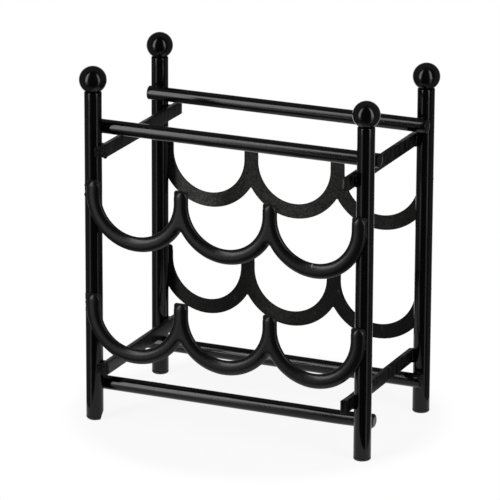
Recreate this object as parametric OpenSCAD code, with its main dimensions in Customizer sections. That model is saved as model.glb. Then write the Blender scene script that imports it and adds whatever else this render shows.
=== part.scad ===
// Free-standing wine rack: a welded steel frame that holds bottles on their sides.
// Four tube posts with ball finials carry round rails, flat side bars and scalloped
// cradles.  Millimetres; +Z is up, the front is -Y, and the origin is on the floor at
// the middle of the footprint.

/* [Posts] */
// Distance between post centres, left to right
post_span_x = 300; // [260:1:390]
// Distance between post centres, front to back
post_span_y = 161; // [130:1:220]
// Outside diameter of the post tubes
post_d = 18; // [14:0.5:22]
// Wall thickness of the post tubes
post_wall = 1.5; // [1:0.1:3]
// Height of the posts' top rims above the floor
post_top = 349.5; // [335:0.5:460]

/* [Finials] */
// Diameter of the ball on each post
ball_d = 28.5; // [22:0.5:34]
// Length of the ball's peg inside the tube
peg_len = 16; // [8:1:30]

/* [Foot plugs] */
// Thickness of the plug's glide under the tube
glide_t = 3; // [2:0.5:6]
// Radius of the glide's lower edge
glide_edge_r = 1.8; // [0.5:0.1:1.9]
// Length of the plug's shank inside the tube
shank_len = 18; // [8:1:30]

/* [Rails] */
// Diameter of the round rails
rail_d = 14.8; // [10:0.2:18]
// How far the front top rail's centre line lies below the posts' top rims
top_rail_drop = 38.5; // [34:0.5:46]
// Height of the front bottom rail's centre line
bottom_rail_z = 35; // [28:0.5:42]
// How far the rails' ends stay inside the posts' outer sides
rail_inset = 2.5; // [0:0.5:4]

/* [Side bars] */
// Height of the flat side bars' section
bar_h = 14; // [8:0.5:16]
// Thickness of the flat side bars
bar_t = 6; // [3:0.5:9]
// Height between a front rail's centre line and the left bar next to it
bar_step = 21; // [18:0.5:26]
// How far a bar reaches past the centre of the post at its short end
bar_short_end = 2; // [1:0.5:8]
// How far a bar reaches past the centre of the post at its long end
bar_long_end = 23.5; // [10:0.5:30]

/* [Cradles] */
// Bottles side by side in each tier
bottles_per_tier = 3; // [2:1:4]
// Height of the lower cradles' underside
lower_cradle_z = 71; // [62:1:90]
// Height from one tier to the next
tier_pitch = 118.5; // [112:0.5:124]
// Width of the bar that the cradles are made of
cradle_w = 15.4; // [10:0.2:18]
// Thickness of the cradle bar
cradle_t = 5.6; // [4.4:0.1:9]
// Radius of the long edges of the bar's face
cradle_edge_r = 4; // [1:0.1:4.2]
// Height of the stems above the centres of the scallops
stem_rise = 13.5; // [6:0.5:24]
// How far the outer stems stand inside the post centres
stem_inset = 2.4; // [0:0.2:5]
// How far the webs at the forks lie below the cradle's face
web_recess = 0.2; // [0.1:0.1:1]

/* [Hand fitting] */
// How much taller the front left post is than the others
front_left_rise = 2; // [0:0.5:3]
// How much higher the back top rail is set than the front one
back_top_lift = 3; // [0:0.5:5]
// How much higher the back bottom rail is set than the front one
back_bottom_lift = 4; // [0:0.5:5]
// How much higher the right bars are set than the left ones
right_bar_lift = 4; // [0:0.5:5]
// How far the top rails are set to the right
top_rail_shift = 2; // [-2:0.5:3]
// How far the front cradles are set to the right
front_cradle_shift = 1.3; // [-3:0.1:3]
// How far the lower back cradle is set to the left
back_cradle_shift = 2.7; // [-3:0.1:3]

/* [Joints] */
// Gap that is left between welded members
weld_gap = 0.2; // [0.1:0.05:0.4]
// Width of the welds across the posts
weld_d = 8.4; // [6:0.2:10]
// Length of the upright welds
weld_len = 10; // [6:0.5:12]
// Clearance of pegs and shanks in the tube bores
bore_clearance = 0.15; // [0.05:0.05:0.4]

/* [Hidden] */
$fn = 64;

// Sides of the rack, as the sign of X or Y
LEFT = -1;
RIGHT = 1;
FRONT = -1;
BACK = 1;
SIDES = [-1, 1];

frame_black = "#161616";
cradle_black = "#262624";
plug_black = "#1c1c1c";

bore_d = post_d - 2 * post_wall;
fit_d = bore_d - 2 * bore_clearance;
post_x = post_span_x / 2;
post_y = post_span_y / 2;

// Height of a post's top rim
function rim_z(side_x, side_y) =
    post_top + (side_x == LEFT && side_y == FRONT ? front_left_rise : 0);

// The ball rests on the inner edge of the tube's mouth, with its centre this far above the rim
ball_rise = sqrt(pow(ball_d / 2, 2) - pow(bore_d / 2, 2));

// The rails lie inside the posts, front and back
top_rail_z = post_top - top_rail_drop;
rail_y = post_y - post_d / 2 - weld_gap - rail_d / 2;
rail_len = post_span_x + post_d - 2 * rail_inset;

// The side bars lie inside the posts, left and right
bar_x = post_x - post_d / 2 - weld_gap - bar_t / 2;
bar_len = post_span_y + bar_short_end + bar_long_end;
bar_shift = (bar_long_end - bar_short_end) / 2;
top_bar_z = top_rail_z - bar_step;
bottom_bar_z = bottom_rail_z + bar_step;

// Heights of the rail at the front or back, and of the bar at the left or right
function rail_z(side_y, top) =
    (top ? top_rail_z : bottom_rail_z)
    + (side_y == FRONT ? 0 : top ? back_top_lift : back_bottom_lift);
function bar_z(side_x, top) =
    (top ? top_bar_z : bottom_bar_z) + (side_x == RIGHT ? right_bar_lift : 0);

// The cradles lie flat against the posts' outer faces; neighbouring scallops share a stem
cradle_y = post_y + post_d / 2 + weld_gap;
scallop_pitch = (post_span_x - 2 * stem_inset) / bottles_per_tier;
scallop_r = scallop_pitch / 2;
cradle_half = cradle_w / 2;
outer_r = scallop_r + cradle_half;
lower_arc_z = lower_cradle_z + outer_r;
upper_arc_z = lower_arc_z + tier_pitch;

// The fork below a shared stem: depth of its notch, and the angle of its sides
notch_depth = sqrt(pow(outer_r, 2) - pow(scallop_r, 2));
fork_angle = atan2(scallop_r, notch_depth);

// How far below the scallops' centres the webs begin
web_top = cradle_edge_r / 2;

// Middles of the welds on a cradle's outer stems, above the scallops' centres
cradle_weld_steps = [stem_rise - 0.5 * weld_len, stem_rise - 1.6 * weld_len];

module post(side_x, side_y) {
    color(frame_black)
        translate([side_x * post_x, side_y * post_y, glide_t])
            difference() {
                cylinder(d = post_d, h = rim_z(side_x, side_y) - glide_t);
                translate([0, 0, -1]) cylinder(d = bore_d, h = rim_z(side_x, side_y) - glide_t + 2);
            }
}

module finial(side_x, side_y) {
    color(frame_black)
        translate([side_x * post_x, side_y * post_y, rim_z(side_x, side_y)]) {
            translate([0, 0, ball_rise]) sphere(d = ball_d);
            translate([0, 0, -peg_len]) cylinder(d = fit_d, h = ball_rise + peg_len);
        }
}

module glide_profile() {
    edge_x = post_d / 2 - glide_edge_r;
    square([edge_x, glide_t]);
    translate([0, glide_edge_r]) square([post_d / 2, glide_t - glide_edge_r]);
    intersection() {
        translate([edge_x, glide_edge_r]) circle(r = glide_edge_r);
        square([post_d / 2, glide_edge_r]);
    }
}

module foot_plug(side_x, side_y) {
    color(plug_black)
        translate([side_x * post_x, side_y * post_y, 0]) {
            rotate_extrude() glide_profile();
            cylinder(d = fit_d, h = glide_t + shank_len);
        }
}

module rail(side_y, top) {
    color(frame_black)
        translate([top ? top_rail_shift : 0, side_y * rail_y, rail_z(side_y, top)])
            rotate([0, 90, 0]) cylinder(d = rail_d, h = rail_len, center = true);
}

// The left bars reach out at the back and the right bars at the front
module side_bar(side_x, top) {
    color(frame_black)
        translate([side_x * bar_x, -side_x * bar_shift, bar_z(side_x, top)])
            cube([bar_t, bar_len, bar_h], center = true);
}

// Section of the cradle bar: flat back on the X axis, face with rounded edges towards +Y
module cradle_section() {
    flat_half = cradle_half - cradle_edge_r;
    flank = cradle_t - cradle_edge_r;
    translate([-cradle_half, 0]) square([cradle_w, flank]);
    translate([-flat_half, 0]) square([2 * flat_half, cradle_t]);
    intersection() {
        for (side_x = SIDES)
            translate([side_x * flat_half, flank]) circle(r = cradle_edge_r);
        translate([-cradle_half, 0]) square([cradle_w, cradle_t]);
    }
}

// One scallop, cut off half-way to a neighbour on each side that has one
module scallop(has_left, has_right) {
    left_reach = has_left ? scallop_r : outer_r + 1;
    right_reach = has_right ? scallop_r : outer_r + 1;
    intersection() {
        rotate([90, 0, 0]) rotate([0, 0, 180])
            rotate_extrude(angle = 180, $fn = 128)
                translate([scallop_r, 0]) cradle_section();
        translate([-left_reach, -cradle_t - 1, -outer_r - 1])
            cube([left_reach + right_reach, cradle_t + 2, outer_r + 1]);
    }
}

// Fills the fork under a shared stem, down to where the rounded edges of its arms meet
module web() {
    foot_x = cradle_edge_r * sin(fork_angle);
    foot_z = cradle_edge_r * cos(fork_angle) - notch_depth;
    rotate([90, 0, 0])
        linear_extrude(cradle_t - web_recess)
            polygon([[0, -web_top], [-foot_x, foot_z], [foot_x, foot_z]]);
}

module cradle(side_y, arc_z, shift) {
    last = bottles_per_tier - 1;
    color(cradle_black)
        translate([shift, side_y * cradle_y, arc_z])
            mirror([0, side_y == BACK ? 1 : 0, 0]) {
                for (i = [0 : last])
                    translate([(i - last / 2) * scallop_pitch, 0, 0])
                        scallop(i > 0, i < last);
                for (i = [0 : bottles_per_tier])
                    translate([(i - bottles_per_tier / 2) * scallop_pitch, 0, 0])
                        rotate([0, 0, 180]) linear_extrude(stem_rise) cradle_section();
                for (i = [1 : last])
                    translate([(i - bottles_per_tier / 2) * scallop_pitch, 0, 0]) web();
            }
}

// A post's outside near height z, as a cutter for the welds that lie against it
module post_cutter(z) {
    translate([0, 0, z]) cylinder(d = post_d, h = 2 * (weld_d + weld_len), center = true);
}

// A round weld between a post and the rail that crosses it
module rail_weld(side_x, side_y, top) {
    z = rail_z(side_y, top);
    difference() {
        translate([side_x * post_x, side_y * (post_y - (post_d + weld_gap) / 2), z])
            rotate([90, 0, 0]) cylinder(d = weld_d, h = 0.8 * weld_d, center = true);
        translate([side_x * post_x, side_y * post_y, 0]) post_cutter(z);
        translate([side_x * post_x, side_y * rail_y, z])
            rotate([0, 90, 0]) cylinder(d = rail_d, h = 2 * weld_d, center = true);
    }
}

// An upright weld between a post and a flat face that lies against its -Y side
module flat_weld(z) {
    difference() {
        translate([-weld_d / 2, -post_d / 2 - weld_gap, z - weld_len / 2])
            cube([weld_d, weld_d / 2, weld_len]);
        post_cutter(z);
    }
}

module rail_welds() {
    color(frame_black)
        for (side_x = SIDES, side_y = SIDES, top = [false, true])
            rail_weld(side_x, side_y, top);
}

module side_bar_welds() {
    color(frame_black)
        for (side_x = SIDES, side_y = SIDES, top = [false, true])
            translate([side_x * post_x, side_y * post_y, 0])
                rotate([0, 0, -side_x * 90]) flat_weld(bar_z(side_x, top));
}

module cradle_welds() {
    color(frame_black)
        for (side_x = SIDES, side_y = SIDES, arc_z = [lower_arc_z, upper_arc_z], step = cradle_weld_steps)
            translate([side_x * post_x, side_y * post_y, 0])
                rotate([0, 0, side_y == FRONT ? 0 : 180]) flat_weld(arc_z + step);
}

post(LEFT, FRONT);  // front_left_post
post(RIGHT, FRONT);  // front_right_post
post(LEFT, BACK);  // back_left_post
post(RIGHT, BACK);  // back_right_post
finial(LEFT, FRONT);  // front_left_finial
finial(RIGHT, FRONT);  // front_right_finial
finial(LEFT, BACK);  // back_left_finial
finial(RIGHT, BACK);  // back_right_finial
foot_plug(LEFT, FRONT);  // front_left_foot_plug
foot_plug(RIGHT, FRONT);  // front_right_foot_plug
foot_plug(LEFT, BACK);  // back_left_foot_plug
foot_plug(RIGHT, BACK);  // back_right_foot_plug
rail(FRONT, true);  // front_top_rail
rail(FRONT, false);  // front_bottom_rail
rail(BACK, true);  // back_top_rail
rail(BACK, false);  // back_bottom_rail
side_bar(LEFT, true);  // left_top_side_bar
side_bar(LEFT, false);  // left_bottom_side_bar
side_bar(RIGHT, true);  // right_top_side_bar
side_bar(RIGHT, false);  // right_bottom_side_bar
cradle(FRONT, upper_arc_z, front_cradle_shift);  // front_upper_cradle
cradle(FRONT, lower_arc_z, front_cradle_shift);  // front_lower_cradle
cradle(BACK, upper_arc_z, 0);  // back_upper_cradle
cradle(BACK, lower_arc_z, -back_cradle_shift);  // back_lower_cradle
rail_welds();
side_bar_welds();
cradle_welds();
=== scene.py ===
"""Looks of a free-standing wine rack: welded black steel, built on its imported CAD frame."""

import math

import bmesh
import bpy
from bpy.props import FloatProperty, FloatVectorProperty, IntProperty, PointerProperty
from bpy.types import Operator, Panel, PropertyGroup
from mathutils import Matrix, Vector, noise


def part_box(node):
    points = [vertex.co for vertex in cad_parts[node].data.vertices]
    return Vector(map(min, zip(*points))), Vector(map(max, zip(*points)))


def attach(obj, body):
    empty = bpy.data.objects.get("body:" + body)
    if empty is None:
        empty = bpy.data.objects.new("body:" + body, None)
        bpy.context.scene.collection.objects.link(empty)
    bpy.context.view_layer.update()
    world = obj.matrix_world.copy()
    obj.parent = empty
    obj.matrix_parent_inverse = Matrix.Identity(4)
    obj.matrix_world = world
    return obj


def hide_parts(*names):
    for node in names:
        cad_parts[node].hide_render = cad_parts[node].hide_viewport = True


bl_info = {
    "name": "Wine Rack",
    "version": (1, 0, 0),
    "blender": (4, 5, 0),
    "location": "View3D > Sidebar > Wine Rack",
    "description": "Builds a welded wine rack and its studio",
    "category": "Add Mesh",
}

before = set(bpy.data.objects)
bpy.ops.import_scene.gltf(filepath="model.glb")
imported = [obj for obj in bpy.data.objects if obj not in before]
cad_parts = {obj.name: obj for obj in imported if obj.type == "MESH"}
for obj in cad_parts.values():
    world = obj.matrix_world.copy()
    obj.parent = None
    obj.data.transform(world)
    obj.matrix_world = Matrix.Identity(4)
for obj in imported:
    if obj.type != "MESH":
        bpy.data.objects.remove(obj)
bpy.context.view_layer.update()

CORNERS = ("front_left", "front_right", "back_left", "back_right")
RAILS = ("front_top", "front_bottom", "back_top", "back_bottom")
SIDE_BARS = ("left_top", "left_bottom", "right_top", "right_bottom")
CRADLES = ("front_upper", "front_lower", "back_upper", "back_lower")


def middle(node):
    """Centre of a CAD node's box."""
    low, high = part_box(node)
    return (low + high) / 2


def half_size(node, axis):
    """Half of a CAD node's box along an axis."""
    low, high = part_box(node)
    return (high[axis] - low[axis]) / 2


def side_of(name):
    """-1 for what is named after the front or the left, and 1 for the back or the right."""
    return -1.0 if name.startswith(("front", "left")) else 1.0


def new_object(name, data):
    """A new object in the scene."""
    item = bpy.data.objects.new(name, data)
    bpy.context.scene.collection.objects.link(item)
    return item


POST_RADIUS = half_size("front_left_post", 0)
BALL_RADIUS = half_size("front_left_finial", 0)
RAIL_RADIUS = half_size("front_top_rail", 2)


# ---- node trees


def one(operation):
    return lambda value: value.graph.math(operation, value)


def two(operation):
    return lambda first, second: first.graph.math(operation, first, second)


def two_reflected(operation):
    return lambda second, first: second.graph.math(operation, first, second)


class Value:
    """A number inside a node tree; arithmetic on it adds Math nodes."""

    def __init__(self, graph, socket):
        self.graph = graph
        self.socket = socket

    __add__ = __radd__ = two("ADD")
    __mul__ = __rmul__ = two("MULTIPLY")
    __sub__, __rsub__ = two("SUBTRACT"), two_reflected("SUBTRACT")
    __truediv__, __rtruediv__ = two("DIVIDE"), two_reflected("DIVIDE")
    __pow__ = two("POWER")
    sqrt, sin, cos = one("SQRT"), one("SINE"), one("COSINE")
    min, max, above = two("MINIMUM"), two("MAXIMUM"), two("GREATER_THAN")

    def ramp(self, low, high, start=0.0, end=1.0):
        """Smoothly maps low..high to start..end, and stays at the ends outside."""
        sockets = {0: self, 1: low, 2: high, 3: start, 4: end}
        smooth = {"interpolation_type": "SMOOTHSTEP"}
        return self.graph.add("ShaderNodeMapRange", smooth, sockets).value()


class Step:
    """A node that was added, with short ways to its output sockets."""

    def __init__(self, graph, node):
        self.graph = graph
        self.node = node

    def socket(self, key=0):
        return self.node.outputs[key]

    def value(self, key=0):
        return Value(self.graph, self.node.outputs[key])


class Graph:
    """A shader or geometry tree that is written as Python expressions."""

    def __init__(self, tree):
        self.tree = tree
        tree.nodes.clear()

    def put(self, socket, source):
        if isinstance(source, Value):
            source = source.socket
        if isinstance(source, Step):
            source = source.socket()
        if isinstance(source, bpy.types.NodeSocket):
            self.tree.links.new(source, socket)
        else:
            socket.default_value = source

    def add(self, kind, settings=None, sockets=None):
        node = self.tree.nodes.new(kind)
        for name, setting in (settings or {}).items():
            if name == "stops":
                ramp = node.color_ramp
                while len(ramp.elements) < len(setting):
                    ramp.elements.new(1.0)
                for element, (position, colour) in zip(ramp.elements, setting):
                    element.position = position
                    element.color = (*colour, 1.0)
            else:
                setattr(node, name, setting)
        for key, source in (sockets or {}).items():
            self.put(node.inputs[key], source)
        return Step(self, node)

    def math(self, operation, *operands):
        sockets = dict(enumerate(operands))
        return self.add("ShaderNodeMath", {"operation": operation}, sockets).value()

    def xyz(self, x, y, z):
        return self.add("ShaderNodeCombineXYZ", None, {0: x, 1: y, 2: z})

    def parts(self, vector):
        """The X, Y and Z of a vector."""
        step = self.add("ShaderNodeSeparateXYZ", None, {0: vector})
        return [step.value(i) for i in range(3)]

    def mix_colour(self, factor, first, second):
        settings = {"data_type": "RGBA"}
        return self.add("ShaderNodeMix", settings, {0: factor, 6: first, 7: second}).socket(2)


def new_tree(name, values):
    """A geometry tree with an input for each value: its graph, input step and output node."""
    tree = bpy.data.node_groups.new(name, "GeometryNodeTree")
    tree.is_modifier = True
    graph = Graph(tree)
    tree.interface.new_socket("Geometry", in_out="INPUT", socket_type="NodeSocketGeometry")
    for label, value in values.items():
        kind = {int: "Int", float: "Float"}.get(type(value), "Material")
        socket = tree.interface.new_socket(label, in_out="INPUT", socket_type="NodeSocket" + kind)
        socket.default_value = value
    tree.interface.new_socket("Geometry", in_out="OUTPUT", socket_type="NodeSocketGeometry")
    return graph, graph.add("NodeGroupInput"), graph.add("NodeGroupOutput").node


def inputs_of(settings):
    """A property group's values under the names that the trees' inputs have."""
    names = settings.__annotations__
    return {name.replace("_", " ").title(): getattr(settings, name) for name in names}


def finish_tree(graph, source, output, geometry):
    """Ends a geometry tree with real geometry and its material."""
    real = graph.add("GeometryNodeRealizeInstances", None, {"Geometry": geometry})
    sockets = {"Geometry": real, "Material": source.socket("Material")}
    graph.put(output.inputs[0], graph.add("GeometryNodeSetMaterial", None, sockets))
    return graph.tree


def grow(name, tree, values, seams=None):
    """Runs a geometry tree with these named inputs and returns its result as a plain mesh."""
    carrier = new_object(name + "_carrier", seams or bpy.data.meshes.new(name + "_seed"))
    modifier = carrier.modifiers.new("Shape", "NODES")
    modifier.node_group = tree
    for item in tree.interface.items_tree:
        if item.in_out == "INPUT" and item.name in values:
            modifier[item.identifier] = values[item.name]
    depsgraph = bpy.context.evaluated_depsgraph_get()
    mesh = bpy.data.meshes.new_from_object(carrier.evaluated_get(depsgraph))
    bpy.data.objects.remove(carrier)
    return mesh


# ---- settings


def number(name, text, default, low=0.0, **more):
    return FloatProperty(name=name, description=text, default=default, min=low, **more)


def length(name, text, default, high, low=0.0001):
    return number(name, text, default, low, max=high, unit="LENGTH", precision=5)


def factor(name, text, default):
    return number(name, text, default, max=1.0, subtype="FACTOR")


def turn_by(name, text, degrees):
    return number(name, text, math.radians(degrees), -math.pi, unit="ROTATION")


def colour(name, text, default):
    return FloatVectorProperty(
        name=name, description=text, default=default, size=3, min=0.0, max=1.0, subtype="COLOR"
    )


class RackPaint(PropertyGroup):
    gloss_colour: colour("Gloss Black", "Colour of the gloss enamel", (0.0012, 0.0012, 0.0012))
    gloss_roughness: factor("Gloss Roughness", "Roughness of the gloss enamel", 0.12)
    rail_roughness: factor("Rail Roughness", "Roughness of the enamel on the round rails", 0.14)
    satin_colour: colour(
        "Satin Black", "Colour of the satin enamel on the cradles", (0.0030, 0.0030, 0.0028)
    )
    satin_roughness: factor("Satin Roughness", "Roughness of the satin enamel", 0.26)
    back_colour: colour("Flat Back", "Colour of the cradles' flat backs", (0.0325, 0.0326, 0.0306))
    plastic_colour: colour("Plug Black", "Colour of the foot plugs", (0.0030, 0.0030, 0.0031))
    reflection: factor("Reflection", "Strength of the enamel's mirror reflection", 0.25)


class RackPosts(PropertyGroup):
    wall: length("Wall", "Thickness of the tubes' walls", 0.0015, 0.004)
    rim_round: length("Rim Round", "Radius of the tubes' upper outer edge", 0.0014, 0.0014)
    peg_length: length("Peg Length", "Length of the finials' pegs inside the tubes", 0.016, 0.04)
    glide_round: length("Glide Round", "Radius of the foot plugs' lower edge", 0.0018, 0.0025)
    sides: IntProperty(name="Sides", description="Faces around a post", default=64, min=16, max=128)


class RackBars(PropertyGroup):
    rail_end_round: length("Rail End Round", "Radius of the round rails' end edges", 0.0006, 0.002)
    bar_edge_round: length("Bar Edge Round", "Radius of the flat bars' edges", 0.0009, 0.002)
    unevenness: length("Unevenness", "Depth of the bars' shallow dents", 0.00012, 0.0005, low=0.0)


class RackCradles(PropertyGroup):
    bottles: IntProperty(
        name="Bottles", description="Bottles side by side", default=3, min=1, max=6
    )
    bar_width: length("Bar Width", "Width of the flat-faced bar", 0.0154, 0.02)
    thickness: length("Thickness", "Thickness of the bar", 0.0056, 0.012)
    dome: length("Dome", "Rise of the bar's face from its long edges to its middle", 0.0042, 0.0055)
    tip_round: length("Tip Round", "Radius of the stem tips' upper edge", 0.0075, 0.012)
    corner_round: length("Corner Round", "Radius of the stem tips' corners", 0.0026, 0.005)
    notch_round: length("Notch Round", "Radius of the notch under a fork", 0.0013, 0.004)
    edge_round: length("Edge Round", "Radius of the flat back's edges", 0.0004, 0.001)


class RackWelds(PropertyGroup):
    bead: length("Bead Radius", "Radius of a weld's beads", 0.0021, 0.004)
    pitch: length("Bead Pitch", "Distance between a weld's ripples", 0.0016, 0.004)
    stray: length("Stray", "How far a bead strays from its seam", 0.0005, 0.002, low=0.0)
    grain: length("Grain", "Size of the weld mesh's cells", 0.0005, 0.001)


class RackStage(PropertyGroup):
    azimuth: turn_by("Camera Azimuth", "Turn of the camera to the right of the front", 23.733)
    elevation: turn_by("Camera Elevation", "Rise of the camera over the horizon", 17.343)
    roll: turn_by("Camera Roll", "Tilt of the camera about its axis", 0.265)
    distance: length("Camera Distance", "Distance from the camera's aim", 4.4829, 20.0, low=0.5)
    lens: number("Lens", "Focal length in millimetres", 313.93, 20.0)
    floor_radius: length("Floor Radius", "Radius of the floor sheet", 0.215, 5.0, low=0.2)
    floor_white: factor("Floor White", "Share of plain white in what is seen of the floor", 0.9)
    lamp: number("Lamp Radiance", "Brightness of the tall lamps", 8.0)
    room: factor("Room Light", "Brightness of the room beside the rack", 0.26)


SETTINGS = {
    "rack_paint": RackPaint,
    "rack_posts": RackPosts,
    "rack_bars": RackBars,
    "rack_cradles": RackCradles,
    "rack_welds": RackWelds,
    "rack_stage": RackStage,
}


# ---- paints


# Width over which a paint's tones of painted light and shade are spread, from the left posts to the
# right ones.
TONE_SPAN = 0.3


def paint(
    name, base, roughness, reflection, grain=0.0011, grain_depth=0.00002, wave=0.02,
    wave_depth=0.00015, stretch=(1.0, 1.0, 1.0), mottle=0.25, flecks=1.6, scatter=0.06, specks=0.0,
    tones=(), dull_edge=None, wear_and_highlight_spots=(),
):
    """Enamel over steel: mottled colour, uneven gloss, fine grain, slow waves and dust specks.

    Lengths are in metres; stretch below 1 draws the pattern out along that axis. Tones are
    evenly spaced shares of the colour, from the rack's left side to its right side, and paint
    light and shade. A dull edge grows rougher between two depths behind the rack's front. Each
    spot has its middle, its reach along the three axes and its colour: exposed metal where the
    paint is chipped, or a painted highlight."""
    material = bpy.data.materials.get(name)
    if material:
        return material
    material = bpy.data.materials.new(name)
    material.use_nodes = True
    material.diffuse_color = (*base, 1.0)
    graph = Graph(material.node_tree)
    place = graph.add("ShaderNodeTexCoord").socket("Object")
    drawn = graph.add("ShaderNodeMapping", None, {"Vector": place, "Scale": stretch})

    def cloud(size, detail=3.0, vector=drawn):
        sockets = {"Vector": vector, "Scale": 1.0 / size, "Detail": detail, "Roughness": 0.55}
        return graph.add("ShaderNodeTexNoise", {"noise_dimensions": "3D"}, sockets).value("Fac")

    fine = cloud(grain, 2.0)
    patches = cloud(wave * 0.7, 4.0)
    slow = cloud(wave, 1.5)
    dust = cloud(grain * 2.6, 1.0, place).ramp(0.70, 0.78)
    tone = (1.0 + (patches - 0.5) * (2.0 * mottle) + (fine - 0.5) * (flecks * mottle)).max(0.2)
    parts = graph.parts(place)
    # Tones paint light and shade along the rack, from left to right
    if tones:
        across = parts[0] / TONE_SPAN + 0.5
        steps = [(i / (len(tones) - 1), (share, share, share)) for i, share in enumerate(tones)]
        tone = tone * graph.add("ShaderNodeValToRGB", {"stops": steps}, {0: across}).value()
    shade = graph.mix_colour(tone * 0.5, (0.0, 0.0, 0.0, 1.0), (*[2.0 * c for c in base], 1.0))
    dust_wear_and_painted_light = graph.mix_colour(dust * specks, shade, (*[min(1.0, 6.0 * c) for c in base], 1.0))
    # Spots of exposed metal where the paint is chipped, and painted highlights on side bars' ends
    for spot, reach, bared in wear_and_highlight_spots:
        sides = [((parts[i] - spot[i]) / reach[i]) ** 2.0 for i in range(3)]
        spot_share = (sides[0] + sides[1] + sides[2]).ramp(0.4, 1.2, 1.0, 0.0)
        dust_wear_and_painted_light = graph.mix_colour(spot_share, dust_wear_and_painted_light, (bared, bared, bared, 1.0))
    dull = roughness + (patches - 0.5) * (2.0 * scatter) + (fine - 0.5) * scatter
    if dull_edge:
        dull = dull + parts[1].ramp(*dull_edge, 0.0, 0.3)
    height = fine * grain_depth + slow * wave_depth + dust * (specks * grain_depth * 2.5)
    bump = graph.add("ShaderNodeBump", None, {"Strength": 1.0, "Distance": 1.0, "Height": height})
    dull = (dull + dust * (0.25 * specks)).max(0.05)
    sockets = {"Base Color": dust_wear_and_painted_light, "Roughness": dull, "Specular IOR Level": reflection}
    surface = graph.add("ShaderNodeBsdfPrincipled", None, sockets | {"Normal": bump})
    graph.add("ShaderNodeOutputMaterial", None, {"Surface": surface})
    return material


def gloss_paint(name, stretch, roughness):
    """Enamel of the posts, balls and rails, drawn out along them."""
    settings = bpy.context.scene.rack_paint
    return paint(
        name, tuple(settings.gloss_colour), roughness, settings.reflection,
        stretch=stretch, specks=0.6,
    )


def satin_paint(name):
    """Enamel of the front cradles, duller along their long edges, nicked in the right scallop."""
    settings = bpy.context.scene.rack_paint
    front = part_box("front_upper_cradle")[0].y
    return paint(
        name, tuple(settings.satin_colour), settings.satin_roughness, settings.reflection,
        grain=0.0009, grain_depth=0.000022, wave=0.03, wave_depth=0.0002, mottle=0.22, scatter=0.05,
        specks=0.3, dull_edge=(front + 0.0018, front + 0.003),
        wear_and_highlight_spots=[((0.0986, front, 0.2028), (0.0011, 0.006, 0.0028), 0.12)],
    )


def back_paint_with_painted_light(name, tones):
    """Thin enamel on the cradles' flat backs, with painted light and shade that change from left to
    right.
    """
    settings = bpy.context.scene.rack_paint
    return paint(
        name, tuple(settings.back_colour), 0.55, 0.42 * settings.reflection, grain=0.0021,
        grain_depth=0.00004, wave=0.016, wave_depth=0.0002, mottle=0.5, flecks=6.5, scatter=0.05,
        specks=0.1, tones=tones,
    )


# ---- mesh making


def arc(centre_a, centre_b, radius, start, end, count):
    """Points of a circular arc in a profile plane; angles in degrees."""
    turn = [math.radians(start + (end - start) * i / count) for i in range(count + 1)]
    return [(centre_a + radius * math.cos(t), centre_b + radius * math.sin(t)) for t in turn]


def span(start, end, step):
    """Evenly spaced numbers between two ends, without the ends."""
    count = max(1, round(abs(end - start) / step))
    return [start + (end - start) * i / count for i in range(1, count)]


def wall(radius, start, end, step):
    """Points up or down a straight wall of a profile, without its ends."""
    return [(radius, z) for z in span(start, end, step)]


def lathe(profile, sides, closed):
    """Vertices and faces of a profile (radius, height) turned about Z.

    A closed profile joins its last point to its first; an open one starts and ends on the axis."""
    rings = profile if closed else profile[1:-1]
    vertices = [
        (r * math.cos(t), r * math.sin(t), z)
        for r, z in rings
        for t in (2.0 * math.pi * i / sides for i in range(sides))
    ]
    faces = []
    pairs = [(k, k + 1) for k in range(len(rings) - 1)] + ([(len(rings) - 1, 0)] if closed else [])
    for k, m in pairs:
        for i in range(sides):
            j = (i + 1) % sides
            faces.append((k * sides + i, k * sides + j, m * sides + j, m * sides + i))
    if not closed:
        low, high = len(vertices), len(vertices) + 1
        vertices += [(0.0, 0.0, profile[0][1]), (0.0, 0.0, profile[-1][1])]
        last = (len(rings) - 1) * sides
        for i in range(sides):
            j = (i + 1) % sides
            faces.append((low, j, i))
            faces.append((high, last + i, last + j))
    return vertices, faces


def make_mesh(name, vertices, faces, material):
    mesh = bpy.data.meshes.new(name)
    mesh.from_pydata(vertices, [], faces)
    mesh.materials.append(material)
    return mesh


def add_piece(name, mesh, nodes, sharp=38.0):
    """Turns a mesh with its place in its vertices into a piece that stands for these CAD nodes."""
    shape = bmesh.new()
    shape.from_mesh(mesh)
    bmesh.ops.remove_doubles(shape, verts=shape.verts, dist=1e-6)
    bmesh.ops.recalc_face_normals(shape, faces=shape.faces)
    shape.to_mesh(mesh)
    shape.free()
    mesh.polygons.foreach_set("use_smooth", [True] * len(mesh.polygons))
    mesh.set_sharp_from_angle(angle=math.radians(sharp))
    mesh.name = name
    piece = new_object(name, mesh)
    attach(piece, "root")
    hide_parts(*nodes)
    return piece


# ---- posts


TUBE_EDGE = 0.0003
BORE_CLEARANCE = 0.00015

# The front left foot was cut roughly: one side is ground away, and the other stands a little up.
GRIND_SIDE = Vector((0.916, 0.400, 0.0))
GRIND_HEIGHT = 0.0085
GRIND_DEPTH = 0.0031
GRIND_LIFT = 0.0010


def grind_foot(vertices):
    """Grinds away the inner side of a foot that stands at the origin."""
    moved = []
    for x, y, z in vertices:
        if z < GRIND_HEIGHT:
            reach = x * GRIND_SIDE.x + y * GRIND_SIDE.y
            share = 1.0 - z / GRIND_HEIGHT
            limit = POST_RADIUS - GRIND_DEPTH * share ** 0.8
            if reach > limit:
                x -= (reach - limit) * GRIND_SIDE.x
                y -= (reach - limit) * GRIND_SIDE.y
            z += GRIND_LIFT * share * max(0.0, -reach / POST_RADIUS) ** 2
        moved.append((x, y, z))
    return moved


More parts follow.
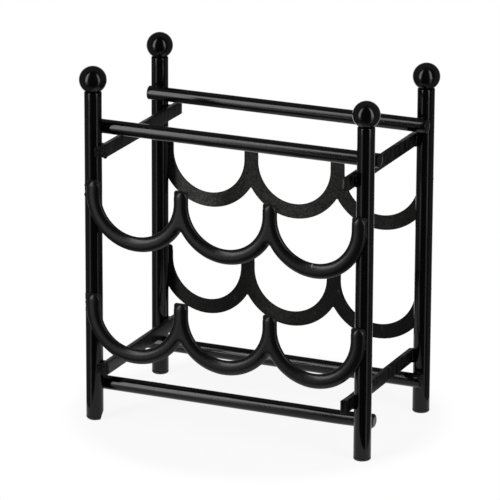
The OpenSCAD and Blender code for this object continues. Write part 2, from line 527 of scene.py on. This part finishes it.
def add_turned(name, node, slot, profile, sides, closed, material):
    """Turns a profile about a CAD node's upright axis into the piece that stands for it."""
    vertices, faces = lathe(profile, sides, closed)
    if node in ("front_left_post", "front_left_foot_plug"):
        vertices = grind_foot(vertices)
    mesh = make_mesh(name, vertices, faces, material)
    centre = middle(node)
    mesh.transform(Matrix.Translation((centre.x, centre.y, 0.0)))
    add_piece(name, mesh, [node])


class RACK_OT_posts(Operator):
    """Makes the four tube posts"""

    bl_idname = "rack.posts"
    bl_label = "Posts"

    def execute(self, context):
        settings = context.scene.rack_posts
        bore = POST_RADIUS - settings.wall
        rim = settings.rim_round
        roughness = context.scene.rack_paint.gloss_roughness
        material = gloss_paint("gloss enamel, posts", (1.0, 1.0, 0.18), roughness)
        for corner in CORNERS:
            low, top = (spot.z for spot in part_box(corner + "_post"))
            # Close rings at the foot, where it may be ground, and wide ones above
            foot = low + 0.012
            profile = [(POST_RADIUS - TUBE_EDGE, low), (POST_RADIUS, low + TUBE_EDGE)]
            profile += wall(POST_RADIUS, low + TUBE_EDGE, foot, 0.0009)
            profile += wall(POST_RADIUS, foot, top - rim, 0.008)
            profile += arc(POST_RADIUS - rim, top - rim, rim, 0, 90, 6)
            profile += arc(bore + TUBE_EDGE, top - TUBE_EDGE, TUBE_EDGE, 90, 180, 3)
            profile += wall(bore, top, low, 0.012) + [(bore, low)]
            names = corner + "_tube_post", corner + "_post", "gloss_black_metal"
            add_turned(*names, profile, settings.sides, True, material)
        return {"FINISHED"}


# Chamfer at a peg's end, and drop of the ring that keeps the edge under the ball crisp.
PEG_CHAMFER, PEG_RING = 0.0004, 0.0002
# What polishing took off each ball's radius, in the order of the corners.
BALL_LOSS = (0.0, 0.00012, 0.00028, 0.00004)


class RACK_OT_finials(Operator):
    """Makes the ball finials with their pegs"""

    bl_idname = "rack.finials"
    bl_label = "Finials"

    def execute(self, context):
        settings = context.scene.rack_posts
        neck = POST_RADIUS - settings.wall - BORE_CLEARANCE
        material = gloss_paint("gloss enamel, balls", (1.0, 1.0, 1.0), 0.16)
        for corner, loss in zip(CORNERS, BALL_LOSS):
            radius = BALL_RADIUS - loss
            ball_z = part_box(corner + "_finial")[1].z - BALL_RADIUS
            start = -math.degrees(math.acos(neck / radius))
            ball = arc(0.0, ball_z, radius, start, 90, 56)
            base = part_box(corner + "_post")[1].z - settings.peg_length
            profile = [(0.0, base), (neck - PEG_CHAMFER, base), (neck, base + PEG_CHAMFER)]
            profile += [(neck, ball[0][1] - PEG_RING)] + ball[:-1] + [(0.0, ball_z + radius)]
            names = corner + "_ball_finial", corner + "_finial", "gloss_black_metal"
            add_turned(*names, profile, settings.sides + 16, False, material)
        return {"FINISHED"}


# Foot plugs: radius of the glide's upper edge, and the chamfer at the shank's end.
GLIDE_LIP, SHANK_IN, SHANK_DOWN = 0.0004, 0.0008, 0.001


class RACK_OT_foot_plugs(Operator):
    """Makes the plastic foot plugs that close the tubes"""

    bl_idname = "rack.foot_plugs"
    bl_label = "Foot Plugs"

    def execute(self, context):
        settings = context.scene.rack_posts
        paints = context.scene.rack_paint
        edge = settings.glide_round
        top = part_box("front_left_post")[0].z
        shank = POST_RADIUS - settings.wall - BORE_CLEARANCE
        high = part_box("front_left_foot_plug")[1].z
        profile = [(0.0, 0.0), (POST_RADIUS - edge - 0.002, 0.0)]
        profile += arc(POST_RADIUS - edge, edge, edge, -90, 0, 8)
        profile += arc(POST_RADIUS - GLIDE_LIP, top - GLIDE_LIP, GLIDE_LIP, 0, 90, 3)
        profile += [(shank, top), (shank, high - SHANK_DOWN), (shank - SHANK_IN, high), (0.0, high)]
        material = paint(
            "moulded plastic, plugs", tuple(paints.plastic_colour), 0.48, 0.35, grain=0.0006,
            grain_depth=0.00003, wave=0.008, wave_depth=0.0001, mottle=0.3, specks=0.5,
        )
        for corner in CORNERS:
            names = corner + "_glide_plug", corner + "_foot_plug", "black_plastic"
            add_turned(*names, profile, settings.sides, False, material)
        return {"FINISHED"}


# ---- rails and bars


def wobble(mesh, seed, depth, size):
    """Presses a mesh in unevenly, never outwards, as hand work leaves it."""
    shape = bmesh.new()
    shape.from_mesh(mesh)
    shape.normal_update()
    for vertex in shape.verts:
        pressed = 0.5 + 0.5 * noise.noise(vertex.co / size + Vector((seed, 0.0, 0.0)))
        vertex.co -= vertex.normal * (depth * pressed)
    shape.to_mesh(mesh)
    shape.free()


def bend(mesh, axis, start, end, rise):
    """Bends the end of a bar up from its start along an axis, as it was left by the maker."""
    for vertex in mesh.vertices:
        share = max(0.0, (vertex.co[axis] - start) / (end - start))
        vertex.co.z += rise * share * share


class RACK_OT_rails(Operator):
    """Makes the four round rails"""

    bl_idname = "rack.rails"
    bl_label = "Round Rails"

    def execute(self, context):
        settings = context.scene.rack_bars
        paints = context.scene.rack_paint
        material = gloss_paint("gloss enamel, rails", (0.12, 1.0, 1.0), paints.rail_roughness)
        for seed, rail in enumerate(RAILS):
            edge = settings.rail_end_round * (4.0 if rail == "front_bottom" else 1.0)
            low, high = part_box(rail + "_rail")
            half = (high.x - low.x) / 2
            end = [(0.0, half), (RAIL_RADIUS * 0.5, half)]
            end += arc(RAIL_RADIUS - edge, half - edge, edge, 90, 0, 4)
            profile = end + wall(RAIL_RADIUS, half - edge, -half + edge, 0.005)
            profile += [(r, -z) for r, z in reversed(end)]
            mesh = make_mesh(rail, *lathe(profile[::-1], 56, False), material)
            mesh.transform(Matrix.Rotation(math.pi / 2, 4, "Y"))
            wobble(mesh, seed=7.3 * seed, depth=settings.unevenness * 0.6, size=0.03)
            mesh.transform(Matrix.Translation(middle(rail + "_rail")))
            if rail == "front_bottom":
                bend(mesh, axis=0, start=0.112, end=high.x, rise=0.0014)
            add_piece(rail + "_round_rail", mesh, [rail + "_rail"])
        return {"FINISHED"}


def painted_end_highlight(node, bared):
    """A painted highlight on the front end of a side bar, along its left edge."""
    low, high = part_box(node)
    spot = Vector((low.x + 0.0006, low.y, (low.z + high.z) / 2 + 0.001))
    return spot, (0.0012, 0.0014, 0.006), bared


# How far a side bar's long end is cut askew, and the length of bar that this draws in.
ASKEW = 0.0022
ASKEW_LENGTH = 0.006


class RACK_OT_side_bars(Operator):
    """Makes the four flat side bars"""

    bl_idname = "rack.side_bars"
    bl_label = "Side Bars"

    def execute(self, context):
        settings = context.scene.rack_bars
        material = paint(
            "brushed enamel, side bars", (0.0078, 0.0078, 0.0077), 0.36,
            context.scene.rack_paint.reflection * 0.4, grain=0.0045, grain_depth=0.00009,
            wave=0.012, wave_depth=0.0003, stretch=(1.0, 1.0, 0.35), mottle=0.9, flecks=8.0,
            scatter=0.14, specks=0.6,
            # Painted highlights along the left edges of the right bars' front ends
            wear_and_highlight_spots=[painted_end_highlight("right_top_side_bar", 0.075), painted_end_highlight("right_bottom_side_bar", 0.035)],
        )
        for seed, bar in enumerate(SIDE_BARS):
            low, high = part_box(bar + "_side_bar")
            centre = middle(bar + "_side_bar")
            thickness = high.x - low.x
            shape = bmesh.new()
            bmesh.ops.create_cube(shape, size=1.0)
            bmesh.ops.scale(shape, vec=high - low, verts=shape.verts)
            edge = settings.bar_edge_round
            bmesh.ops.bevel(
                shape, geom=shape.edges[:], offset=edge, segments=4, affect="EDGES", profile=0.5
            )
            side = side_of(bar)
            # Cross cuts carry the unevenness, and the lengthwise one is the fold of the askew end
            cuts = [((0.0, y - centre.y, 0.0), (0.0, 1.0, 0.0)) for y in span(low.y, high.y, 0.006)]
            cuts.append(((side * -0.2 * thickness, 0.0, 0.0), (1.0, 0.0, 0.0)))
            for spot, facing in cuts:
                geometry = shape.verts[:] + shape.edges[:] + shape.faces[:]
                bmesh.ops.bisect_plane(shape, geom=geometry, plane_co=spot, plane_no=facing)
            mesh = bpy.data.meshes.new(bar)
            shape.to_mesh(mesh)
            shape.free()
            mesh.materials.append(material)
            wobble(mesh, seed=3.1 + 5.7 * seed, depth=settings.unevenness, size=0.012)
            # The long end, which passes its post, is cut askew, short on the rack's outside
            end = -side * (high.y - low.y) / 2
            for vertex in mesh.vertices:
                nearness = max(0.0, 1.0 - abs(vertex.co.y - end) / ASKEW_LENGTH)
                outwards = max(0.0, 0.2 + side * vertex.co.x / thickness)
                vertex.co.y += side * ASKEW * outwards * min(1.0, 1.5 * nearness)
            mesh.transform(Matrix.Translation(centre))
            if bar == "right_bottom":
                bend(mesh, axis=1, start=-0.078, end=low.y, rise=0.001)
            add_piece(bar + "_flat_bar", mesh, [bar + "_side_bar"], 50.0)
        return {"FINISHED"}


# ---- cradles


# How far each cradle's left, middle and right scallop sit above their place.
BENDS = {
    "front_upper": (0.0014, 0.0009, -0.0010),
    "front_lower": (-0.0008, 0.0012, 0.0010),
    "back_upper": (-0.0003, -0.0010, -0.0008),
    "back_lower": (-0.0002, -0.0009, -0.0013),
}
# How far each cradle strays to the right: at its left end, then at every half scallop.
STRAYS = {
    "front_upper": (0.00135, 0.0010, 0.0010, 0.0007, 0.00055, 0.0, -0.00115),
    "front_lower": (0.0007, 0.0006, 0.00095, 0.00105, 0.00125, 0.00035, -0.0009),
    "back_upper": (0.00095, 0.0003, -0.0001, -0.0003, -0.00055, -0.0004, -0.00065),
    "back_lower": (0.0029, 0.0009, -0.0009, -0.0011, -0.00085, -0.0001, 0.00065),
}
# Painted light and shade on each back cradle's thin enamel: shares of its colour from left to
# right, lighter at the upper left and darker over the whole lower cradle.
BACK_PAINTED_LIGHT_AND_SHADE = {
    "back_upper": (0.13, 1.2, 1.37, 0.47, 0.85, 1.0, 0.87, 0.7, 0.53, 0.34, 0.37, 0.28, 0.26),
    "back_lower": (0.07, 0.32, 0.13, 0.12, 0.23, 0.7, 0.32, 0.2, 0.1, 0.17, 0.06, 0.04, 0.07),
}
# Rows of faces before, in and after the notch, then on the stem and on its rounded tip.
ROWS = (60, 32, 22, 6, 10)
COLUMNS = 24
# Half the turn that is sampled closely at the notch.
NOTCH_TURN = math.radians(4.2)
# Flatness of the dome's top: 2 is a circle's, and more is flatter.
DOME_FLATNESS = 2.6


def half_sheets(graph, sizes, forked):
    """Front and back sheets of half a scallop and its stem, from the middle to the right.

    Rows run along the bar and columns across it. A forked half stops half-way to its neighbour
    and fills the fork between them; the other kind keeps its full width up to its tip."""
    thickness, dome, rise = sizes["Thickness"], sizes["Dome"], sizes["Stem Rise"]
    tip, corner = sizes["Tip Round"], sizes["Corner Round"]
    notch, edge = sizes["Notch Round"], sizes["Edge Round"]
    radius = sizes["Pitch"] / 2.0
    crown = sizes["Bar Width"] / 2.0
    inner = radius - crown
    outer = radius + crown
    rows = sum(ROWS)
    sockets = {"Size X": 1.0, "Size Y": 1.0, "Vertices X": COLUMNS + 1, "Vertices Y": rows + 1}
    grid = graph.add("GeometryNodeMeshGrid", None, sockets)
    parts = graph.parts(graph.add("GeometryNodeInputPosition"))
    across = parts[0] + 0.5
    row = (parts[1] + 0.5) * float(rows)

    def stretch_of(index):
        start = float(sum(ROWS[:index]))
        return ((row - start) / float(ROWS[index])).max(0.0).min(1.0)

    # The turn along the scallop is sampled closely where the notch is
    reach = outer + notch
    notch_turn = graph.math("ARCSINE", radius / reach)
    notch_drop = (reach * reach - radius * radius).sqrt()
    turn = stretch_of(0) * (notch_turn - NOTCH_TURN) + stretch_of(1) * (2.0 * NOTCH_TURN)
    turn = turn + stretch_of(2) * (math.pi / 2 - NOTCH_TURN - notch_turn)

    if forked:
        past = turn.above(notch_turn)
        sine = (turn - notch_turn).sin() * reach
        filled = (turn - notch_turn).cos() * reach - (notch * notch - sine * sine).max(0.0).sqrt()
        halfway = radius / turn.sin().max(0.01)
        limit = outer + past * (filled.min(halfway) - outer)
    else:
        limit = outer
    breadth = limit - inner
    fullness = (breadth / crown - 1.0).max(0.0).min(1.0) if forked else 1.0
    wide = (fullness + 1.0) * (math.pi / 2) if forked else math.pi
    spread = across * wide
    full = 1.0 - (wide.cos() if forked else -1.0)
    inset = breadth * (1.0 - spread.cos()) / full
    distance = inner + inset
    x = distance * turn.sin()
    z = distance * turn.cos() * -1.0

    # Distance to the outline
    outside = outer - distance
    if forked:
        beside = ((x - radius) ** 2.0 + (z + notch_drop) ** 2.0).sqrt() - notch
        outside = outside + past * (beside - outside)
    depth = inset.min(outside).max(0.0)

    # The stem above the scallop, with its rounded tip
    climb = (rise - tip) * stretch_of(3) + tip * (stretch_of(4) * (math.pi / 2)).sin()
    below_tip = rise - climb
    gap = corner - below_tip.min(corner)
    narrow = corner - (corner * corner - gap * gap).max(0.0).sqrt()
    x = x + narrow * spread.cos() * stretch_of(3)
    z = z + climb

    # Height of the face over the back, rounded along the outline
    beside_crest = 1.0 - (depth / crown).min(1.0)
    above_crest = 1.0 - (below_tip / tip).min(1.0)
    hollow = (beside_crest * beside_crest + above_crest * above_crest).sqrt().min(1.0)
    height = thickness - dome + dome * (1.0 - hollow ** DOME_FLATNESS).max(0.0).sqrt()
    round_edge = edge - depth.min(below_tip).min(edge)
    back = edge - (edge * edge - round_edge * round_edge).max(0.0).sqrt()

    sheets = []
    for out in (height, back):
        sockets = {"Geometry": grid, "Position": graph.xyz(x, out * -1.0, z)}
        sheets.append(graph.add("GeometryNodeSetPosition", None, sockets))
    return sheets


def cradle_tree(values):
    """Geometry tree of a cradle: domed face to -Y, back at Y = 0, arc centres at Z = 0."""
    graph, source, output = new_tree("Scalloped Cradle", values)
    sizes = {name: source.value(name) for name in values if name != "Material"}
    pitch, edge, bottles = sizes["Pitch"], sizes["Edge Round"], sizes["Bottles"]
    first = (bottles - 1.0) * pitch * -0.5
    forked = half_sheets(graph, sizes, True)
    plain = half_sheets(graph, sizes, False)

    def moved(geometry, x, way=1.0):
        sockets = {"Geometry": geometry, "Translation": graph.xyz(x, 0.0, 0.0)}
        sockets["Scale"] = (way, 1.0, 1.0)
        return graph.add("GeometryNodeTransform", None, sockets)

    def joined(parts):
        step = graph.add("GeometryNodeJoinGeometry")
        for part in parts:
            graph.put(step.node.inputs[0], part)
        return step

    def merged(parts):
        sockets = {"Geometry": joined(parts), "Distance": 1e-6}
        return graph.add("GeometryNodeMergeByDistance", None, sockets)

    def whole(forked_half, plain_half):
        sockets = {"Count": bottles - 1.0, "Start Location": graph.xyz(first, 0.0, 0.0)}
        sockets["Offset"] = graph.xyz(pitch, 0.0, 0.0)
        row = graph.add("GeometryNodeMeshLine", {"mode": "OFFSET"}, sockets)
        pair = joined([moved(forked_half, 0.0), moved(forked_half, pitch, -1.0)])
        sockets = {"Points": row, "Instance": pair}
        repeated = graph.add("GeometryNodeInstanceOnPoints", None, sockets)
        halves = graph.add("GeometryNodeRealizeInstances", None, {"Geometry": repeated})
        ends = [moved(plain_half, first * -1.0), moved(plain_half, first, -1.0)]
        return merged([halves, *ends])

    front = whole(forked[0], plain[0])
    back = whole(forked[1], plain[1])
    open_edge = graph.add("GeometryNodeInputMeshEdgeNeighbors").value(0)
    sockets = {"Mesh": front, "Selection": 1.5 - open_edge}
    # The offset has to be a link: an unlinked one stands for the edge's normal, a metre long.
    sockets["Offset"] = graph.xyz(0.0, 0.0001, 0.0)
    walls = graph.add("GeometryNodeExtrudeMesh", {"mode": "EDGES"}, sockets)
    parts = graph.parts(graph.add("GeometryNodeInputPosition"))
    rim = graph.xyz(parts[0], edge * -1.0, parts[2])
    sockets = {"Geometry": walls, "Selection": walls.socket(1), "Position": rim}
    shell = graph.add("GeometryNodeSetPosition", None, sockets)
    return finish_tree(graph, source, output, merged([shell, back]))


class RACK_OT_cradles(Operator):
    """Makes the four scalloped cradles"""

    bl_idname = "rack.cradles"
    bl_label = "Cradles"

    def execute(self, context):
        settings = context.scene.rack_cradles
        low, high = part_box("front_upper_cradle")
        pitch = (high.x - low.x - settings.bar_width) / settings.bottles
        outer = (pitch + settings.bar_width) / 2
        values = inputs_of(settings) | {"Pitch": pitch, "Stem Rise": 0.0, "Material": None}
        tree = cradle_tree(values)
        for cradle in CRADLES:
            low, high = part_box(cradle + "_cradle")
            front = cradle.startswith("front")
            if front:
                material = satin_paint("satin enamel, front cradles")
            else:
                # Each back cradle gets its own copy of the paint, with its own painted light and
                # shade
                name = "thin enamel with painted light and shade, " + cradle.replace("_", " ")
                material = back_paint_with_painted_light(name, BACK_PAINTED_LIGHT_AND_SHADE[cradle])
            rise = high.z - low.z - outer
            mesh = grow(cradle, tree, values | {"Stem Rise": rise, "Material": material})
            turn = Matrix.Rotation(0.0 if front else math.pi, 4, "Z")
            spot = Vector(((low.x + high.x) / 2, high.y if front else low.y, low.z + outer))
            mesh.transform(Matrix.Translation(spot) @ turn)
            left, mid, right = BENDS[cradle]
            strays = STRAYS[cradle]
            for vertex in mesh.vertices:
                # Sideways by the strays of the two nearest half scallops, counted from the left
                t = (vertex.co.x - spot.x) / pitch
                step = max(0.0, min(5.999, 2.0 * t + 3.0))
                near, share = int(step), step % 1.0
                vertex.co.x += strays[near] * (1.0 - share) + strays[near + 1] * share
                # Up along a parabola through the three scallops' bends, level near the ends
                t = max(-1.25, min(1.25, t))
                vertex.co.z += mid + t * (right - left) / 2 + t * t * ((left + right) / 2 - mid)
            name = cradle + "_scallop_cradle"
            add_piece(name, mesh, [cradle + "_cradle"], 50.0)
        return {"FINISHED"}


# ---- welds


def weld_tree(values):
    """Geometry tree of a weld: beads strung along the seams, strewn a little and fused."""
    graph, source, output = new_tree("Weld Beads", values)
    radius, stray = source.value("Bead"), source.value("Stray")
    path = graph.add("GeometryNodeMeshToCurve", None, {"Mesh": source.socket("Geometry")})
    sockets = {"Curve": path, "Length": source.socket("Pitch")}
    beads = graph.add("GeometryNodeCurveToPoints", {"mode": "LENGTH"}, sockets)
    sockets = {0: (-1.0, -1.0, -1.0), 1: (1.0, 1.0, 1.0), "Seed": source.socket("Seed")}
    scatter = graph.add("FunctionNodeRandomValue", {"data_type": "FLOAT_VECTOR"}, sockets)
    sockets = {0: scatter, "Scale": stray}
    offset = graph.add("ShaderNodeVectorMath", {"operation": "SCALE"}, sockets)
    sockets = {"Geometry": beads, "Offset": offset}
    strewn = graph.add("GeometryNodeSetPosition", None, sockets)
    sockets = {2: 0.78, 3: 1.12, "Seed": source.value("Seed") + 5.0}
    size = graph.add("FunctionNodeRandomValue", {"data_type": "FLOAT"}, sockets).value(1) * radius
    sockets = {"Points": strewn, "Voxel Size": source.socket("Grain"), "Radius": size}
    volume = graph.add("GeometryNodePointsToVolume", {"resolution_mode": "VOXEL_SIZE"}, sockets)
    sockets = {"Volume": volume, "Threshold": 0.1}
    lumps = graph.add("GeometryNodeVolumeToMesh", {"resolution_mode": "GRID"}, sockets)
    return finish_tree(graph, source, output, lumps)


def seam_mesh(name, seams):
    """A mesh of open polylines, one for each seam."""
    vertices, edges = [], []
    for seam in seams:
        start = len(vertices)
        vertices += [tuple(point) for point in seam]
        edges += [(start + i, start + i + 1) for i in range(len(seam) - 1)]
    mesh = bpy.data.meshes.new(name)
    mesh.from_pydata(vertices, edges, [])
    return mesh


# Rail seams: gap to the post's skin, half width and half height of the ring of beads.
RAIL_GAP, RAIL_WIDE, RAIL_HIGH = 0.0012, 0.0054, 0.0056
# Side bar seams: how far they stop short of the bar's edges, lie from the post's middle plane
# and stand out from the bar's outer face.
BAR_STOP, BAR_APART, BAR_PROUD = 0.0022, 0.0052, 0.0008
# The blob at a bar's short end: how far it stands past the end, and how deep its beads sit in the
# bar's inner edge, the bar's inner face and the post.
BLOB_PAST, BLOB_EDGE, BLOB_FACE, BLOB_POST = 0.0004, 0.0012, 0.0009, 0.0009
# Its beads' steps back along the inner face, and turns and lost height round the post.
BLOB_STEPS, BLOB_TRIM = (0.0012, 0.0034), 0.001
BLOB_TURNS = tuple(math.radians(turn) for turn in (45, 56, 67, 78))
# Cradle seams: distance from the post's middle plane, depth, and drop of the ends from the tip.
STEM_APART, STEM_DEPTH, STEM_ENDS = 0.0038, 0.0011, (0.021, 0.004)


def rail_seams():
    """Beads above and below each rail, in the corner that it makes with the post."""
    seams = []
    for rail in RAILS:
        side = side_of(rail)
        z = middle(rail + "_rail").z
        for corner in ("left", "right"):
            post = middle(rail.split("_")[0] + "_" + corner + "_post")
            y = post.y - side * (POST_RADIUS + RAIL_GAP)
            for up in (-1.0, 1.0):
                seams.append([
                    (post.x + RAIL_WIDE * math.sin(t), y, z + up * RAIL_HIGH * math.cos(t))
                    for t in (math.radians(a) for a in range(-50, 51, 10))
                ])
    return seams


def upright(x, y, low, high):
    """A seam that rises from one height to another."""
    return [(x, y, low), (x, y, high)]


def side_bar_seams():
    """Upright beads on both sides of each post, and a blob round each bar's short end."""
    seams = []
    sunk = POST_RADIUS - BLOB_POST
    for bar in SIDE_BARS:
        low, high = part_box(bar + "_side_bar")
        # The left bars are short at the front, and the right ones at the back
        side = short = side_of(bar)
        z0, z1 = low.z + BAR_STOP, high.z - BAR_STOP
        outer_x = low.x if side < 0 else high.x
        inner_x = high.x if side < 0 else low.x
        for end in ("front", "back"):
            post = middle(end + "_" + bar.split("_")[0] + "_post")
            toward = side_of(end)
            for way in (-1.0, 1.0):
                if toward == short and way == short:
                    continue
                y = post.y + way * BAR_APART
                seams.append(upright(outer_x + side * BAR_PROUD, y, z0, z1))
            if toward == short:
                y = (low.y if short < 0 else high.y) + short * BLOB_PAST
                for x in (outer_x, (outer_x + inner_x) / 2, inner_x + side * BLOB_EDGE):
                    seams.append(upright(x, y, z0, z1))
                for step in BLOB_STEPS:
                    x = inner_x + side * BLOB_FACE
                    seams.append(upright(x, y - short * step, z0 + step / 2, z1 - step))
                for turn in BLOB_TURNS:
                    x = post.x - side * math.sin(turn) * sunk
                    y = post.y + short * math.cos(turn) * sunk
                    seams.append(upright(x, y, z0 + BLOB_TRIM, z1 - BLOB_TRIM))
    return seams


def cradle_seams():
    """Upright beads on both sides of each outer stem's contact with its post."""
    seams = []
    for cradle in CRADLES:
        low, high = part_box(cradle + "_cradle")
        side = side_of(cradle)
        flat = high.y if side < 0 else low.y
        for corner in ("left", "right"):
            post = middle(cradle.split("_")[0] + "_" + corner + "_post")
            for way in (-1.0, 1.0):
                x, y = post.x + way * STEM_APART, flat - side * STEM_DEPTH
                seams.append([(x, y, high.z - drop) for drop in STEM_ENDS])
    return seams


class RACK_OT_welds(Operator):
    """Makes the weld beads at the rails, side bars and cradles"""

    bl_idname = "rack.welds"
    bl_label = "Welds"

    def execute(self, context):
        paints = context.scene.rack_paint
        material = paint(
            "dull enamel, welds", tuple(paints.gloss_colour), 0.5, paints.reflection * 0.7
        )
        values = inputs_of(context.scene.rack_welds) | {"Seed": 0, "Material": material}
        tree = weld_tree(values)
        groups = (
            (11, "rail", rail_seams(), "rail_welds"),
            (12, "side_bar", side_bar_seams(), "side_bar_welds"),
            (13, "cradle", cradle_seams(), "cradle_welds"),
        )
        for seed, name, seams, node in groups:
            mesh = grow(name, tree, values | {"Seed": seed}, seam_mesh(name + "_seams", seams))
            add_piece(name + "_weld_beads", mesh, [node], 80.0)
        return {"FINISHED"}


# ---- stage


# The panels of the two tall lamps: name, distance, azimuths of the left and the right edge,
# lowest and highest elevation seen from the finials, and share of the full light.
PANELS = (
    ("left lamp foot", 2.4, -40.0, -19.0, -27.0, -13.0, 0.14),
    ("left lamp knee", 2.4, -40.0, -21.0, -13.0, -5.0, 0.40),
    ("left lamp", 2.4, -40.0, -23.0, -5.0, 47.0, 1.0),
    ("left lamp head", 2.4, -37.5, -26.0, 47.0, 61.0, 0.75),
    ("right lamp foot", 0.75, 62.4, 76.8, -41.0, -25.0, 0.13),
    ("right lamp shin", 0.75, 62.4, 76.8, -25.0, -13.0, 0.22),
    ("right lamp knee", 0.75, 62.4, 76.8, -13.0, -5.0, 0.45),
    ("right lamp", 0.75, 62.4, 76.8, -5.0, 47.0, 0.85),
    ("right lamp head", 0.75, 65.0, 74.0, 47.0, 61.0, 0.6),
)


def panel_lamp(panel, top, radiance):
    """An upright lamp beside the rack that faces it."""
    name, distance, left, right, start, end, share = panel
    azimuth = math.radians(left + right) / 2
    width = 2.0 * distance * math.tan(math.radians(right - left) / 2)
    low, high = (top + distance * math.tan(math.radians(angle)) for angle in (start, end))
    data = bpy.data.lights.new(name, "AREA")
    data.shape = "RECTANGLE"
    data.size = width
    data.size_y = high - low
    data.energy = radiance * share * width * (high - low) * math.pi
    lamp = new_object(name, data)
    lamp.location = (distance * math.sin(azimuth), -distance * math.cos(azimuth), (low + high) / 2)
    lamp.rotation_euler = (math.pi / 2, 0.0, azimuth)


# What the camera looks at, near the middle of the rack.
AIM = Vector((-0.006367, -0.009181, 0.181111))
WHITE = (1.0, 1.0, 1.0, 1.0)
FLOOR_COLOUR = (0.85, 0.85, 0.85, 1.0)
FLOOR_SIDES = 128


def seen_rays(graph):
    """Masks of the rays that come from the camera, and of those mirrored or let through."""
    path = graph.add("ShaderNodeLightPath")
    mirrored = path.value("Is Glossy Ray").max(path.value("Is Transmission Ray"))
    return path.value("Is Camera Ray"), mirrored


def towards_camera(settings):
    """Unit vector from the rack to the camera."""
    return Vector((
        math.sin(settings.azimuth) * math.cos(settings.elevation),
        -math.cos(settings.azimuth) * math.cos(settings.elevation),
        math.sin(settings.elevation),
    ))


class RACK_OT_stage(Operator):
    """Makes the floor, the lamps, the room light and the camera"""

    bl_idname = "rack.stage"
    bl_label = "Stage"

    def execute(self, context):
        settings = context.scene.rack_stage
        scene = context.scene
        self.make_floor(settings)
        self.make_room(scene, settings)
        top = middle("front_left_finial").z
        for panel in PANELS:
            panel_lamp(panel, top, settings.lamp)
        self.make_camera(scene, settings)
        scene.view_settings.view_transform = "Standard"
        return {"FINISHED"}

    def make_floor(self, settings):
        """A round sheet: diffuse for the lamps, and mostly white where it is seen or mirrored."""
        material = bpy.data.materials.new("pale floor")
        material.use_nodes = True
        graph = Graph(material.node_tree)
        place = graph.add("ShaderNodeTexCoord").socket("Object")
        away = graph.add("ShaderNodeVectorMath", {"operation": "LENGTH"}, {0: place}).value("Value")
        fade = away.ramp(settings.floor_radius * 0.8, settings.floor_radius * 0.99)
        seen, mirrored = seen_rays(graph)
        share = seen.max(mirrored)
        share = share * (settings.floor_white + (1.0 - settings.floor_white) * fade)
        lit = graph.add("ShaderNodeBsdfDiffuse", None, {"Color": FLOOR_COLOUR})
        white = graph.add("ShaderNodeEmission", None, {"Color": WHITE, "Strength": 1.0})
        surface = graph.add("ShaderNodeMixShader", None, {0: share, 1: lit, 2: white})
        graph.add("ShaderNodeOutputMaterial", None, {"Surface": surface})
        radius = settings.floor_radius
        turns = [2.0 * math.pi * i / FLOOR_SIDES for i in range(FLOOR_SIDES)]
        rim = [(radius * math.cos(t), radius * math.sin(t), 0.0) for t in turns]
        mesh = make_mesh("floor", rim, [tuple(range(FLOOR_SIDES))], material)
        new_object("floor", mesh)

    def make_room(self, scene, settings):
        """A room that is dim towards the camera, with a white backdrop behind the rack."""
        world = bpy.data.worlds.new("room")
        scene.world = world
        world.use_nodes = True
        graph = Graph(world.node_tree)
        direction = graph.add("ShaderNodeTexCoord").socket("Generated")
        toward = {0: direction, 1: towards_camera(settings)}
        step = graph.add("ShaderNodeVectorMath", {"operation": "DOT_PRODUCT"}, toward)
        # 1 is behind the camera, 0 beside the rack and -1 behind it
        facing = step.value("Value")
        dim = facing.ramp(0.1, 0.6, 1.0, 0.18) * facing.ramp(-0.65, -0.1, 0.3, 1.0)
        room = settings.room * dim
        backdrop = facing.ramp(-0.86, -0.80, 1.0, 0.0)
        seen, mirrored = seen_rays(graph)
        white = seen.max(mirrored * backdrop)
        strength = room + white * (1.0 - room)
        light = graph.add("ShaderNodeBackground", None, {"Color": WHITE, "Strength": strength})
        graph.add("ShaderNodeOutputWorld", None, {"Surface": light})

    def make_camera(self, scene, settings):
        back = towards_camera(settings)
        right = Vector((math.cos(settings.azimuth), math.sin(settings.azimuth), 0.0))
        up = back.cross(right)
        tilt = Matrix.Rotation(settings.roll, 3, back)
        right, up = tilt @ right, tilt @ up
        data = bpy.data.cameras.new("camera")
        data.lens = settings.lens
        data.sensor_width = 36.0
        camera = new_object("camera", data)
        spot = Matrix((right, up, back)).transposed().to_4x4()
        spot.translation = AIM + back * settings.distance
        camera.matrix_world = spot
        scene.camera = camera


# ---- add-on


class RACK_PT_sidebar(Panel):
    """Lists the rack's pieces and their sizes"""

    bl_idname = "RACK_PT_sidebar"
    bl_label = "Wine Rack"
    bl_space_type = "VIEW_3D"
    bl_region_type = "UI"
    bl_category = "Wine Rack"

    def draw(self, context):
        for piece in PIECES:
            self.layout.operator(piece.bl_idname)
        for name, settings in SETTINGS.items():
            box = self.layout.box()
            box.label(text=settings.__name__[4:])
            for item in settings.__annotations__:
                box.prop(getattr(context.scene, name), item)


PIECES = (
    RACK_OT_posts, RACK_OT_finials, RACK_OT_foot_plugs, RACK_OT_rails,
    RACK_OT_side_bars, RACK_OT_cradles, RACK_OT_welds, RACK_OT_stage,
)


def register():
    for kind in (*SETTINGS.values(), *PIECES, RACK_PT_sidebar):
        bpy.utils.register_class(kind)
    for name, kind in SETTINGS.items():
        setattr(bpy.types.Scene, name, PointerProperty(type=kind))


def unregister():
    for name in SETTINGS:
        delattr(bpy.types.Scene, name)
    for kind in (RACK_PT_sidebar, *reversed(PIECES), *SETTINGS.values()):
        bpy.utils.unregister_class(kind)


def main():
    register()
    bpy.ops.rack.posts()
    bpy.ops.rack.finials()
    bpy.ops.rack.foot_plugs()
    bpy.ops.rack.rails()
    bpy.ops.rack.side_bars()
    bpy.ops.rack.cradles()
    bpy.ops.rack.welds()
    bpy.ops.rack.stage()


if __name__ == "__main__":
    main()
